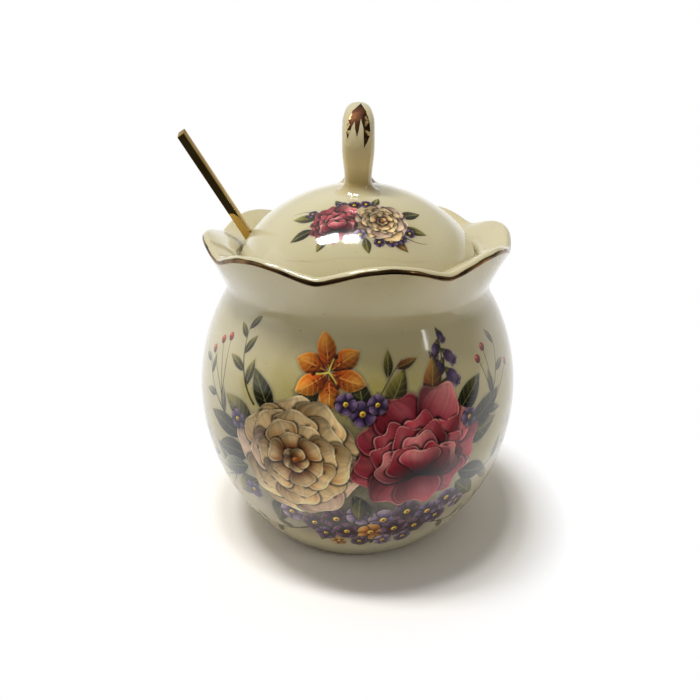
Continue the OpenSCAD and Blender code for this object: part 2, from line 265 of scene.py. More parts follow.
def turned(profiles):
    """Points and faces of a solid turned about Z: one profile for each angle, ends on the axis."""
    columns, length = profiles.shape[:2]
    a = around(columns)[:, None]
    r, z = profiles[..., 0], profiles[..., 1]
    points = np.stack([r * np.cos(a), r * np.sin(a), z], -1).reshape(-1, 3)
    faces = grid_faces(columns, length, wrap_rows=True)
    ends = np.array([[0, 0, profiles[0, 0, 1]], [0, 0, profiles[0, -1, 1]]])
    base = len(points)
    for i in range(columns):
        j = (i + 1) % columns
        faces.append((base, i * length, j * length))
        faces.append((base + 1, j * length + length - 1, i * length + length - 1))
    return np.concatenate([points, ends]), flipped(faces)


def add_object(name, data):
    made = bpy.data.objects.new(name, data)
    bpy.context.scene.collection.objects.link(made)
    return made


def new_mesh(name, points, faces):
    """A mesh from points in millimetres."""
    mesh = bpy.data.meshes.new(name)
    mesh.from_pydata((np.asarray(points) * MM).tolist(), [], faces)
    return mesh


def add_piece(name, mesh, material, body, replaced=None):
    """Puts a mesh in the scene, shaded smooth, as a piece that rides on a body."""
    mesh.shade_smooth()
    mesh.materials.append(material)
    made = add_object(name, mesh)
    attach(made, body)
    if replaced:
        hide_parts(replaced)


def mesh_piece(name, points, faces, material, body, slot, replaced=None):
    """A piece from points in millimetres; its mesh is given back."""
    mesh = new_mesh(name, points, faces)
    mesh.validate()
    add_piece(name, mesh, material, body, replaced)
    return mesh


class Nodes:
    """The node tree of a material or of the world, with a short call for each kind of node."""

    def __init__(self, owner):
        owner.use_nodes = True
        self.nodes, self.links = owner.node_tree.nodes, owner.node_tree.links

    def fill(self, node, inputs):
        """Sets each named input to a value, or links it to what another node gives."""
        for name, value in inputs.items():
            if isinstance(value, bpy.types.NodeSocket):
                self.links.new(value, node.inputs[name])
            else:
                node.inputs[name].default_value = value

    def add(self, kind, inputs=None, **settings):
        """The outputs of a new node with these inputs and settings of its own."""
        node = self.nodes.new("ShaderNode" + kind)
        for name, value in settings.items():
            setattr(node, name, value)
        self.fill(node, inputs or {})
        return node.outputs

    def noise(self, coords, scale, detail=2.0, roughness=0.5):
        inputs = {"Vector": coords, "Scale": scale, "Detail": detail, "Roughness": roughness}
        return self.add("TexNoise", inputs)["Fac"]

    def ramp(self, value, *stops):
        """Colours over a value: each stop is a position and a colour in linear light."""
        outputs = self.add("ValToRGB", {"Fac": value})
        elements = outputs["Color"].node.color_ramp.elements
        while len(elements) < len(stops):
            elements.new(0.5)
        for element, (position, colour) in zip(elements, stops):
            element.position = position
            element.color = colour
        return outputs["Color"]

    def spread(self, value, given, wanted=(0.0, 1.0)):
        """Carries a given range of a value over to a wanted one, and holds it at both ends."""
        inputs = zip(("Value", "From Min", "From Max", "To Min", "To Max"), (value, *given, *wanted))
        return self.add("MapRange", dict(inputs))["Result"]

    def bump(self, height, strength, distance):
        return self.add("Bump", {"Height": height, "Strength": strength, "Distance": distance})["Normal"]

    def mix(self, factor, a, b):
        return self.add("Mix", {"Factor": factor, "A": a, "B": b}, data_type="RGBA")["Result"]

    def maths(self, operation, *values):
        return self.add("Math", dict(enumerate(values)), operation=operation)["Value"]

    def vector_maths(self, operation, a, b):
        return self.add("VectorMath", {0: a, 1: b}, operation=operation)["Value"]

    def split(self, coords):
        return self.add("SeparateXYZ", {"Vector": coords})

    def rays(self):
        """Switches for the camera's own rays and for those that a glossy or clear surface sends on."""
        rays = self.add("LightPath")
        mirrored = self.maths("MAXIMUM", rays["Is Glossy Ray"], rays["Is Transmission Ray"])
        return rays["Is Camera Ray"], mirrored


def new_material(name):
    """A material, its nodes, its shader and the coordinates of the piece that wears it."""
    material = bpy.data.materials.new(name)
    tree = Nodes(material)
    return material, tree, tree.nodes["Principled BSDF"], tree.add("TexCoord")["Object"]


def linear(values):
    """Display values of 0 to 255 in linear light."""
    values = np.clip(values, 0, 255) / 255
    return np.where(values <= 0.04, values / 12.92, ((values + 0.055) / 1.055) ** 2.4)


def srgb(*display):
    """An opaque colour from display values of red, green and blue."""
    return (*linear(display).tolist(), 1.0)


def grey(level):
    return (level, level, level, 1.0)


IVORY = srgb(198, 188, 150)
IVORY_WARM = srgb(193, 181, 137)
IVORY_COOL = srgb(202, 195, 163)
IVORY_SPECK = srgb(140, 124, 84)
# Painted bounce light on the loop's front, and painted shade towards its foot
LOOP_BOUNCE_SHADE = srgb(178, 156, 100)
LOOP_BOUNCE_LIGHT = srgb(230, 207, 148)
# Painted highlight on the loop's gold, at its sides
GLINT_GOLD = srgb(236, 206, 146)
# How far the loop's painted bounce light and shade cover, at shares of the way up from its lower height
LOOP_BOUNCE_COVER = ((0.0, grey(0.0)), (0.18, grey(1.0)), (0.5, grey(0.85)), (1.0, grey(0.0)))
LOOP_BOUNCE_HEIGHTS = ((DOME_TOP - 2.5) * MM, (DOME_TOP + 16) * MM)
# Scales of the glaze's patterns, per metre
CLOUDS, SPECKS, RIPPLES, SMEARS = 22, 900, 90, 140


def glaze_material(name, printed=False, bounce_heights=None):
    """Glossy ivory glaze with faint cloudiness and specks.

    A printed one takes its flowers from the mesh. Between bounce heights, light and shade are painted.
    """
    material, tree, shader, coords = new_material(name)
    clouds = tree.noise(coords, CLOUDS, 3)
    colour = tree.ramp(clouds, (0.3, IVORY_WARM), (0.5, IVORY), (0.72, IVORY_COOL))
    specks = tree.spread(tree.noise(coords, SPECKS, 1), (0.74, 0.78), (0.0, 0.35))
    colour = tree.mix(specks, colour, IVORY_SPECK)
    # Painted bounce light and shade: a darker warm tone low down, a paler warm tone higher up
    if bounce_heights:
        height = tree.spread(tree.split(coords)["Z"], bounce_heights)
        bounce_tone = tree.ramp(height, (0.18, LOOP_BOUNCE_SHADE), (0.45, LOOP_BOUNCE_LIGHT))
        colour = tree.mix(tree.ramp(height, *LOOP_BOUNCE_COVER), colour, bounce_tone)
    if printed:
        flowers = tree.add("VertexColor", layer_name="print")
        colour = tree.mix(flowers["Alpha"], colour, flowers["Color"])
    roughness = tree.spread(tree.noise(coords, SMEARS, 3), (0.3, 0.7), (0.06, 0.16))
    ripples = tree.bump(tree.noise(coords, RIPPLES), 0.08, 0.0006)
    tree.fill(shader, {"Base Color": colour, "Roughness": roughness, "Normal": ripples,
                       "Coat Weight": 0.5, "Coat Roughness": 0.03})
    return material


def gold_material(name, dark, bright, streak_scale, relief, gloss=(0.08, 0.18), glint_from=None):
    """Streaked gold. Where glint_from is set, patches of painted highlight show farther aside than that."""
    material, tree, shader, coords = new_material(name)
    streaks = tree.noise(coords, streak_scale, 4, 0.6)
    colour = tree.ramp(streaks, (0.32, dark), (0.62, bright))
    # Painted highlight: brighter gold patches on both sides of the middle, standing in for reflected light
    if glint_from:
        aside = tree.maths("ABSOLUTE", tree.split(coords)["X"])
        glint_side = tree.spread(aside, (glint_from, 1.5 * glint_from))
        patches = tree.spread(tree.noise(coords, 3 * streak_scale), (0.44, 0.56))
        colour = tree.mix(tree.maths("MULTIPLY", glint_side, patches), colour, GLINT_GOLD)
    roughness = tree.spread(streaks, (0.3, 0.7), gloss)
    tree.fill(shader, {"Base Color": colour, "Metallic": 1.0, "Roughness": roughness,
                       "Normal": tree.bump(streaks, relief, 0.0003)})
    return material


GLAZE = glaze_material("ivory_glaze")
PRINTED_GLAZE = glaze_material("printed_glaze", printed=True)
# The loop's glaze carries painted bounce light and shade
LOOP_GLAZE = glaze_material("loop_glaze", bounce_heights=LOOP_BOUNCE_HEIGHTS)
# The rim's and loop's golds are far darker than gold: painted shade for the dim room that they mirror
LUSTRE = gold_material("gold_lustre", srgb(58, 44, 32), srgb(150, 116, 76), 160, 0.1)
LOOP_LUSTRE = gold_material("loop_lustre", srgb(30, 16, 11), srgb(84, 54, 34), 260, 0.3, (0.4, 0.55),
                            glint_from=1.6 * MM)
SPOON_GOLD = gold_material("spoon_gold", srgb(190, 152, 78), srgb(214, 182, 112), 120, 0.003, (0.03, 0.05))


def wave(angle):
    """The rim's wave, from 0 in a valley to 1 on a petal."""
    s = np.sin(PETALS / 2 * (angle - VALLEY_TURN)) ** 2
    e = VALLEY_SOFT
    return (np.sqrt(s + e * e) - e) / (math.sqrt(1 + e * e) - e)


def lip_frame(w):
    """Middle of the lip's round, direction along the lip and direction to its outer side."""
    lean = LIP_LEAN[0] + (LIP_LEAN[1] - LIP_LEAN[0]) * w
    along = np.array([math.sin(lean), math.cos(lean)])
    across = np.array([along[1], -along[0]])
    edge = np.array([RIM_R + PETAL_OUT * w, VALLEY_Z + PETAL_RISE * w ** PETAL_POWER])
    turn = math.radians(LIP_EDGE_TURN)
    return edge - LIP_R * (math.cos(turn) * across + math.sin(turn) * along), along, across


def lip_points(w, turns, radius):
    """Points round the lip at turns in degrees."""
    middle, along, across = lip_frame(w)
    turns = np.radians(turns)[:, None]
    return middle + radius * (np.cos(turns) * across + np.sin(turns) * along)


def jar_profile(w):
    """Half outline of the jar at one level of the wave, from under the foot round to the inner floor."""
    foot_turn = math.asin((FOOT_ROUND - BELLY_Z) / LOWER_ARC_R)
    lower = arc(LOWER_C, LOWER_ARC_R, foot_turn, 0, 36)
    foot = rounded([(AXIS_GAP, FOOT_RECESS), (FOOT_R - FOOT_W - FOOT_SLOPE, FOOT_RECESS),
                    (FOOT_R - FOOT_W, 0), (FOOT_R - FOOT_EDGE_IN, 0), lower[0]], FOOT_ROUND)
    upper = arc(UPPER_C, UPPER_ARC_R, 0, SHOULDER_TURN, 30)
    neck = arc(NECK_C, NECK_FILLET_R, SHOULDER_TURN + math.pi, math.pi, 10)
    _, along, across = lip_frame(w)
    lip = lip_points(w, np.linspace(FLARE_TURN, LIP_INNER_TURN, 15), LIP_R)
    outer, inner = lip[0], lip[-1]
    turn = math.radians(FLARE_TURN)
    outer_along = math.cos(turn) * along - math.sin(turn) * across
    reach = np.linalg.norm(outer - neck[-1])
    flare = bezier(neck[-1], neck[-1] + [0, FLARE_LOW * reach],
                   outer - FLARE_HIGH * reach * outer_along, outer, 18)
    seat = np.array([SEAT_R, SEAT_Z])
    reach = INSIDE_BEND * np.linalg.norm(inner - seat)
    inside = bezier(inner, inner - reach * along, seat + [0, reach], seat + [0, SEAT_ROUND], 12)
    inner_neck_r = NECK_FILLET_R + WALL_T
    under = math.asin((SEAT_R - MOUTH_R) / inner_neck_r)
    inner_neck = arc(NECK_C, inner_neck_r, math.pi + under, SHOULDER_TURN + math.pi, 8)
    ledge = rounded([inside[-1], seat, (MOUTH_R, SEAT_Z), (MOUTH_R, NECK_Z), inner_neck[0]], SEAT_ROUND)
    inner_upper = arc(UPPER_C, UPPER_ARC_R - WALL_T, SHOULDER_TURN, 0, 20)
    floor_turn = math.asin((FLOOR_Z + FLOOR_ROUND - BELLY_Z) / (LOWER_ARC_R - WALL_T))
    inner_lower = arc(LOWER_C, LOWER_ARC_R - WALL_T, 0, floor_turn, 24)
    floor_edge = inner_lower[-1] - [FLOOR_EDGE_IN, FLOOR_ROUND]
    floor = rounded([inner_lower[-1], floor_edge, (AXIS_GAP, FLOOR_Z)], FLOOR_ROUND)
    return joined(foot, lower, upper, neck, flare, lip, inside, ledge,
                  inner_neck, inner_upper, inner_lower, floor)


def build_jar():
    profiles = np.array([jar_profile(w) for w in wave(around(320))])
    mesh_piece("jar", *turned(profiles), GLAZE, "jar", "glaze", "jar_body")


def brushed(turn, brush, angle):
    """A turn of the gold line's edge with the unevenness of a brush at an angle round the rim."""
    return turn + sum(depth * math.sin(waves * angle + phase) for depth, waves, phase in brush)


def build_rim_gilding():
    """The gold line on the outer corner of the lip."""
    columns, rows = 720, 9
    share = np.linspace(0, 1, rows)
    radius = LIP_R + GILD_T * 4 * share * (1 - share) + GILD_LIFT
    rings = []
    for a, w in zip(around(columns), wave(around(columns))):
        low, high = brushed(GILD_FROM, LOW_BRUSH, a), brushed(GILD_TO, HIGH_BRUSH, a)
        ring = lip_points(w, low + (high - low) * share, radius[:, None])
        rings.append(np.stack([ring[:, 0] * math.cos(a), ring[:, 0] * math.sin(a), ring[:, 1]], 1))
    faces = grid_faces(columns, rows, wrap_rows=True)
    mesh_piece("rim_gold_line", np.concatenate(rings), faces, LUSTRE, "jar", "gilding", "rim_gilding")


def turn_z(angle):
    c, s = math.cos(angle), math.sin(angle)
    return np.array([[c, -s, 0], [s, c, 0], [0, 0, 1]])


def on_spoon_line(points, roll=0.0):
    """Points drawn along Z, rolled about it and put on the spoon's leaning middle line."""
    c, s = math.cos(SPOON_TILT), math.sin(SPOON_TILT)
    tilt = np.array([[c, 0, s], [0, 1, 0], [-s, 0, c]])
    start = np.array([CROSS_R * math.cos(SPOON_TURN), CROSS_R * math.sin(SPOON_TURN), CROSS_Z])
    return np.asarray(points) @ turn_z(roll).T @ (turn_z(SPOON_TURN) @ tilt).T + start


def lid_profile():
    """Half outline of the lid, from its top over the edge and the skirt to the top of its hollow."""
    crown_c, knuckle_c = (0, DOME_CZ), (KNUCKLE_CR, KNUCKLE_CZ)
    top, meeting = QUARTER - POLE_GAP, QUARTER - KNUCKLE_TURN
    crown = arc(crown_c, DOME_R, top, meeting, 40)
    edge_turn = math.asin((SEAT_Z + BRIM_T + LID_EDGE_RISE - KNUCKLE_CZ) / KNUCKLE_R)
    knuckle = arc(knuckle_c, KNUCKLE_R, meeting, edge_turn, 30)
    hollow_turn = math.acos((SKIRT_IN_R - KNUCKLE_CR) / (KNUCKLE_R - LID_T))
    hollow = arc(knuckle_c, KNUCKLE_R - LID_T, hollow_turn, meeting, 16)
    ceiling = arc(crown_c, DOME_R - LID_T, meeting, top, 30)
    edge = rounded([knuckle[-1], (LID_R, SEAT_Z + BRIM_T), (LID_R, SEAT_Z), (SKIRT_R, SEAT_Z),
                    (SKIRT_R, SEAT_Z - SKIRT_H), (SKIRT_IN_R, SEAT_Z - SKIRT_H), hollow[0]], LID_ROUND)
    return joined(crown, knuckle, edge, hollow, ceiling)


def notch_cutter():
    """A bar along the spoon, round on one side, that cuts a slot open to the lid's edge."""
    half = NOTCH_W / 2
    ring = [(half * math.cos(a), half * math.sin(a)) for a in np.linspace(QUARTER, 3 * QUARTER, 17)]
    ring += [(NOTCH_REACH, -half), (NOTCH_REACH, half)]
    points = [(x, y, z) for z in (-NOTCH_REACH, NOTCH_REACH) for x, y in ring]
    mesh = new_mesh("notch_cutter", on_spoon_line(points), tube_faces(2, len(ring)))
    return add_object("notch_cutter", mesh)


def build_lid():
    """The turned lid with the spoon's notch cut out of it."""
    mesh = new_mesh("lid_blank", *turned(np.repeat(lid_profile()[None], 288, 0)))
    blank = add_object("lid_blank", mesh)
    cutter = notch_cutter()
    cut = blank.modifiers.new("notch", "BOOLEAN")
    cut.operation, cut.solver, cut.object = "DIFFERENCE", "EXACT", cutter
    bpy.context.view_layer.update()
    evaluated = blank.evaluated_get(bpy.context.evaluated_depsgraph_get())
    notched = bpy.data.meshes.new_from_object(evaluated)
    bpy.data.objects.remove(blank)
    bpy.data.objects.remove(cutter)
    notched.name = "lid"
    notched.materials.clear()
    add_piece("lid", notched, GLAZE, "lid", "lid_dome")
    notched.set_sharp_from_angle(angle=LID_CREASE)


def dome_z(x, y):
    return DOME_CZ + np.sqrt(DOME_R ** 2 - x * x - y * y)


def strap_section(half_w, grow=0.0):
    """Offsets across and outward of the strap's section, thicker on the outside of the loop."""
    turn = around(STRAP_SIDES)
    c, s = np.cos(turn), np.sin(turn)
    half_t = np.where(s > 0, STRAP_OUT, STRAP_IN) + grow
    across = (half_w + grow) * np.sign(c) * np.abs(c) ** SECTION_POWER
    return across, half_t * np.sign(s) * np.abs(s) ** SECTION_POWER


def arch_half_width(turn):
    """Half the strap's width at an angle from the crown."""
    return STRAP_TOP_W / 2 * (CROWN_SHARE + (1 - CROWN_SHARE) * smooth(np.abs(turn) / CROWN_TURN))


def arch_ring(turn):
    across, outward = strap_section(arch_half_width(turn))
    reach = LOOP_A + outward
    return np.stack([across, reach * math.sin(turn), LOOP_CZ + reach * math.cos(turn)], 1)


def leg_ring(side, share, height=FOOT_FILLET_R, flare=0.0):
    """A section of a leg, a share of the way from the arch to a height above the dome."""
    x, outward = strap_section(STRAP_TOP_W / 2 + (STRAP_LEG_W - STRAP_TOP_W) / 2 * smooth(share), flare)
    y = side * (LOOP_A - LEG_LEAN * share + outward)
    z = LOOP_CZ + share * (dome_z(x, y) + height - LOOP_CZ)
    return np.stack([x, y, z], 1)


def leg_rings(side):
    """Sections of one leg, from the arch down its fillet and into the dome."""
    rings = [leg_ring(side, share) for share in np.linspace(0, 1, 16)[1:]]
    for turn in np.radians(np.arange(5, 90, 5)):
        height, flare = FOOT_FILLET_R * (1 - math.sin(turn)), FOOT_FILLET_R * (1 - math.cos(turn))
        rings.append(leg_ring(side, 1.0, height, flare))
    rings.append(leg_ring(side, 1.0, -FOOT_SUNK, FOOT_FILLET_R))
    return rings


def build_loop():
    arch = [arch_ring(turn) for turn in np.linspace(-QUARTER, QUARTER, 81)]
    rings = leg_rings(-1)[::-1] + arch + leg_rings(1)
    faces = tube_faces(len(rings), STRAP_SIDES)
    mesh_piece("loop_handle", np.concatenate(rings), faces, LOOP_GLAZE, "lid", "glaze", "lid_handle")


def on_loop_front(x, z, lift):
    """The point of the loop's front that lies at x and z, raised by a lift, found in a few steps."""
    turn = 0.0
    for _ in range(8):
        c = min(1.0, (abs(x) / (arch_half_width(turn) + lift)) ** (1 / SECTION_POWER))
        reach = LOOP_A + (STRAP_OUT + lift) * math.sqrt(1 - c * c) ** SECTION_POWER
        turn = math.acos(min(1.0, max(0.0, (z - LOOP_CZ) / reach)))
    return x, -reach * math.sin(turn), z


def build_loop_gilding():
    """Gold brushed from the crown down the front of the loop in three tapering strokes."""
    top, low = np.array(STROKES_TOP), np.array(STROKES_LOW)
    columns = np.unique(np.concatenate([np.linspace(low[0, 0], low[-1, 0], 120), low[:, 0], top[:, 0]]))
    rows = 40
    points = []
    for x in columns:
        start, end = np.interp(x, *top.T), np.interp(x, *low.T)
        for z in np.linspace(start, end, rows):
            at_x, at_z = x * STRAP_TOP_W / DRAWN_W, LOOP_TOP + z * LOOP_H / DRAWN_H
            points.append(on_loop_front(at_x, at_z, GILD_T / 2))
    faces = flipped(grid_faces(len(columns), rows))
    mesh_piece("loop_gold_strokes", points, faces, LOOP_LUSTRE, "lid", "gilding", "handle_gilding")


def spoon_piece(name, points, faces, replaced):
    points = on_spoon_line(points, math.pi - SPOON_ROLL)
    return mesh_piece(name, points, faces, SPOON_GOLD, "spoon", "spoon_metal", replaced)


def build_spoon_bar():
    """The square bar, from inside the bowl's rim up to its slanted end."""
    corner_at = BAR_W / 2 - BAR_ROUND
    ring = []
    for k in range(4):
        middle = QUARTER / 2 + k * QUARTER
        at = np.copysign(corner_at, [math.cos(middle), math.sin(middle)])
        ring.extend(arc(at, BAR_ROUND, middle - QUARTER / 2, middle + QUARTER / 2, 5))
    low = BOWL_L - BAR_DOWN - BAR_SUNK
    straight = np.linspace(low + FOOT_BEVEL, BAR_UP - END_SLANT - END_CLEAR, 30)
    levels = [(low, FOOT_SHARE, 0), *((z, 1.0, 0) for z in straight)]
    levels += [(BAR_UP - drop, scale, END_SLANT) for drop, scale in END_BEVEL]
    points = [(*(at * scale), z - slant * (0.5 - at[1] / BAR_W))
              for z, scale, slant in levels for at in ring]
    mesh = spoon_piece("spoon_bar", points, tube_faces(len(levels), len(ring)), "spoon_handle")
    mesh.set_sharp_from_angle(angle=BAR_CREASE)


def bowl_ring(share, lift):
    """A ring of the bowl, a share of the way out and lifted off its hollow by a share of the metal."""
    c, s = np.cos(around(BOWL_SIDES)), np.sin(around(BOWL_SIDES))
    y = BOWL_W / 2 * share * s * (1 - BOWL_EGG * c)
    z = BOWL_L / 2 * share * c
    hollow = np.stack([np.full(BOWL_SIDES, -BOWL_DEPTH * (1 - share * share)), y, z], 1)
    back = np.stack([np.full(BOWL_SIDES, -1.0), 4 * BOWL_DEPTH * share * s / BOWL_W,
                     4 * BOWL_DEPTH * share * c / BOWL_L], 1)
    return hollow + lift * BOWL_T * back / np.linalg.norm(back, axis=1, keepdims=True)


def build_spoon_bowl():
    """The oval dish: its back from the middle out, its rounded edge, and its hollow back to the middle."""
    shares = np.linspace(BOWL_CAP, 1, 22)
    rings = [bowl_ring(share, 1.0) for share in shares]
    rings += [bowl_ring(BOWL_BULGE, lift) for lift in (0.85, 0.5, 0.15)]
    rings += [bowl_ring(share, 0.0) for share in shares[::-1]]
    points = np.concatenate(rings) + [0, 0, BOWL_L / 2 - BAR_DOWN]
    spoon_piece("spoon_dish", points, tube_faces(len(rings), BOWL_SIDES), "spoon_bowl")


# Printed flowers: painted on a flat sheet in millimetres, then laid on the glaze
LIGHT = np.array([-0.6, 0.8])
BELLY_PITCH = 0.22
LID_PITCH = 0.15
PRINT_LIFT = 0.03
POSY_LEAN = math.radians(31)
# Firing deepens the painted colours and makes them warmer
PRINT_DEPTH = 1.22
PRINT_WARMTH = np.array([1.0, 0.96, 0.82])
# Less cover than this is left bare
BARE_COVER = 0.004
# How far a petal's shadow reaches, and the places across it that have their own vein
CAST = 1.1
VEIN_PLACES = np.linspace(-1.1, 1.1, 26)
# Display level of the glint on a bead
SPARK = 245


def over(colour, tone, mask):
    """A tone laid over a colour as far as a mask says."""
    mask = mask[..., None]
    return colour * (1 - mask) + np.array(tone) * mask


class Sheet:
    """A flat sheet of paint: display colours and cover on an even grid; s goes right and t goes up."""

    def __init__(self, left, right, low, high, pitch, seed):
        self.s = np.arange(left, right + pitch / 2, pitch)
        self.t = np.arange(low, high + pitch / 2, pitch)
        self.pitch = pitch
        self.paint = np.zeros((len(self.t), len(self.s), 3))
        self.cover = np.zeros((len(self.t), len(self.s)))
        self.rng = np.random.default_rng(seed)
        self.mottle = 0.6 * self.cloud(2.2) + 0.4 * self.cloud(0.7)

    def cloud(self, size):
        """Soft seeded noise from -1 to 1 with blots of about one size."""
        s, t = (self.s - self.s[0]) / size, (self.t - self.t[0]) / size
        rows, columns = int(t[-1]) + 3, int(s[-1]) + 3
        coarse = self.rng.uniform(-1, 1, (rows, columns))
        across = np.array([np.interp(s, np.arange(columns), row) for row in coarse])
        return np.array([np.interp(t, np.arange(rows), column) for column in across.T]).T

    def area(self, middle, reach):
        """The part of the sheet within a reach of a point, and how far its places are from that point."""
        columns = np.searchsorted(self.s, [middle[0] - reach, middle[0] + reach])
        rows = np.searchsorted(self.t, [middle[1] - reach, middle[1] + reach])
        part = (slice(*rows), slice(*columns))
        ds, dt = np.meshgrid(self.s[part[1]] - middle[0], self.t[part[0]] - middle[1])
        return part, ds, dt

    def lay(self, part, mask, colour):
        self.paint[part] = over(self.paint[part], np.clip(colour, 0, 255), mask)
        self.cover[part] = mask + self.cover[part] * (1 - mask)

    def wash(self, middle, reach, colour, strength):
        """A soft airbrushed cloud of colour."""
        part, ds, dt = self.area(middle, 2.2 * max(reach))
        fall = np.exp(-(ds / reach[0]) ** 2 - (dt / reach[1]) ** 2)
        self.lay(part, np.clip(strength * (fall - 0.02) * (1 + 0.25 * self.mottle[part]), 0, 1), colour)

    def petal(self, base, angle, length, width, stops, widest=0.62, blunt=0.6, bend=0.0, cup=1.0,
              shade=0.35, rim=None, rim_w=0.5, rim_strength=0.75, veins=0.05, frill=0.0, shadow=0.5,
              midrib=None):
        """One petal or leaf from its base along an angle, with painted light, veins and a rim.

        It is widest at a share of its length. A lower blunt makes it fuller, and a negative cup lights it
        as a hollow. Shade, veins, shadow and rim_strength say how strong each shows.
        """
        along = np.array([math.cos(angle), math.sin(angle)])
        across = np.array([-along[1], along[0]])
        reach = 0.5 * math.hypot(length, width) + abs(bend) * length + 1.5
        part, ds, dt = self.area(np.array(base) + 0.5 * length * along, reach)
        x = ds * along[0] + dt * along[1] + 0.5 * length
        y = ds * across[0] + dt * across[1] - bend * length * np.clip(x / length, 0, 1.2) ** 2
        phase = self.rng.uniform(0, 6)
        # Shares along the petal and across it, and the distance in from its edge
        u = x / (length * (1 + frill * np.sin(9 * y / width + phase)))
        half = width / 2 * np.sin(math.pi * np.clip(u, 0, 1) ** (math.log(0.5) / math.log(widest))) ** blunt
        v = np.clip(y / np.maximum(half, 0.05), -1, 1)
        inside = np.minimum(np.minimum(half - np.abs(y), (1 - u) * length), u * length)
        self.paint[part] *= 1 - (shadow * smooth((inside + CAST) / CAST))[..., None]
        places, tones = zip(*stops)
        colour = np.stack([np.interp(u, places, channel) for channel in zip(*tones)], -1)
        lit = cup * ((u - 0.5) * (along @ LIGHT) + v * (across @ LIGHT))
        vein_levels = self.rng.uniform(-1, 1, len(VEIN_PLACES))
        hairs = np.interp(v + 0.06 * np.sin(5 * u + phase), VEIN_PLACES, vein_levels)
        level = self.rng.uniform(0.94, 1.05) + shade * lit + veins * hairs + 0.06 * self.mottle[part]
        colour = colour * level[..., None]
        if rim:
            lit_side = 0.3 * cup * np.sign(across @ LIGHT)
            sheen = np.exp(-((u - 0.7) / 0.2) ** 2 - ((v - lit_side) / 0.4) ** 2)
            colour = over(colour, rim, 0.5 * rim_strength * sheen)
        if midrib:
            rib = smooth((0.22 - np.abs(y)) / 0.2) * smooth((0.95 - u) / 0.2)
            side = smooth((np.cos(2 * math.pi * (u * 6.5 - np.abs(v) * 1.1)) - 0.75) / 0.25) * 0.45
            colour = over(colour, midrib, np.maximum(rib, side) * 0.75)
        if rim:
            outer = smooth((u - 0.3) / 0.35)
            groove = smooth(1 - np.abs(inside - 1.6 * rim_w) / (0.9 * rim_w)) * outer
            edge = smooth((rim_w - inside) / (0.7 * rim_w)) * outer
            colour = colour * (1 - 0.08 * groove[..., None])
            colour = over(colour, rim, edge * rim_strength * np.clip(0.75 + 0.5 * lit, 0, 1))
        self.lay(part, smooth(inside / (1.6 * self.pitch) + 0.5), colour)

    def stroke(self, points, width, colour, taper=0.3):
        """A brush line from a point past a bow to an end, where it is thinner."""
        line = bowed(*np.array(points, float), np.linspace(0, 1, 26)[:, None])
        middle = (line.min(0) + line.max(0)) / 2
        part, ds, dt = self.area(middle, np.ptp(line, axis=0).max() / 2 + width + 0.5)
        best = np.full(ds.shape, -9.0)
        for i, (p, q) in enumerate(zip(line, line[1:])):
            step = q - p
            s, t = ds - (p - middle)[0], dt - (p - middle)[1]
            share = np.clip((s * step[0] + t * step[1]) / max(step @ step, 1e-9), 0, 1)
            half = width / 2 * (1 - (1 - taper) * (i + share) / (len(line) - 1))
            best = np.maximum(best, half - np.hypot(s - share * step[0], t - share * step[1]))
        level = 1 + 0.12 * self.mottle[part] + 0.25 * smooth(best / width)
        self.lay(part, smooth(best / (1.1 * self.pitch) + 0.5), np.array(colour) * level[..., None])

    def bead(self, middle, radius, colour, glint=0.8):
        """A small round berry, anther or eye, lit from above left."""
        part, ds, dt = self.area(middle, radius + 1)
        lit = (ds * LIGHT[0] + dt * LIGHT[1]) / radius
        tint = np.array(colour) * (1 + 0.4 * np.clip(lit, -1, 1))[..., None]
        spark = smooth(1 - np.hypot(ds + 0.35 * radius, dt - 0.4 * radius) / (0.42 * radius)) * glint
        mask = smooth((radius - np.hypot(ds, dt)) / (1.1 * self.pitch) + 0.5)
        self.lay(part, mask, over(tint, SPARK, spark))


def polar(middle, angle, reach):
    return middle[0] + reach * math.cos(angle), middle[1] + reach * math.sin(angle)


def shades(*tones, places=(0.0, 0.5, 1.0)):
    """Display colours at shares of the way from a petal's base to its tip."""
    return list(zip(places, tones))


CREAM_PLACES = (0.0, 0.45, 0.75, 1.0)
CRIMSON_PLACES = (0.0, 0.4, 0.8, 1.0)
ORANGE_PLACES = (0.0, 0.3, 0.75, 1.0)
CREAM = shades((84, 46, 26), (146, 102, 66), (202, 172, 130), (230, 212, 178), places=CREAM_PLACES)
CREAM_COOL = shades((78, 50, 50), (138, 104, 98), (186, 158, 146), (218, 198, 182), places=CREAM_PLACES)
CRIMSON = shades((40, 8, 16), (104, 26, 44), (148, 54, 72), (176, 90, 102), places=CRIMSON_PLACES)
CRIMSON_PALE = shades((66, 14, 28), (136, 50, 68), (186, 106, 118), (214, 152, 154), places=CRIMSON_PLACES)
ORANGE = shades((96, 36, 12), (164, 80, 24), (204, 132, 52), (220, 164, 90), places=ORANGE_PLACES)
VIOLET = shades((38, 24, 54), (84, 62, 108), (140, 120, 160))
LILAC = shades((78, 58, 98), (130, 110, 148), (188, 174, 194))
PLUM = shades((34, 14, 34), (76, 42, 74), (124, 92, 120))
AMBER = shades((120, 60, 18), (190, 130, 52), (222, 182, 106))
LEAF = shades((44, 40, 18), (92, 88, 44), (140, 132, 78))
LEAF_DARK = shades((24, 24, 14), (52, 52, 32), (88, 88, 56))
LEAF_GREY = shades((58, 62, 54), (104, 110, 94), (148, 150, 128))
LEAF_RUST = shades((66, 36, 20), (120, 76, 40), (160, 128, 72))
STEM = (74, 74, 34)
CREAM_RIM = (244, 234, 212)
FLORETS = (VIOLET, VIOLET, PLUM, LILAC, VIOLET, PLUM, AMBER)
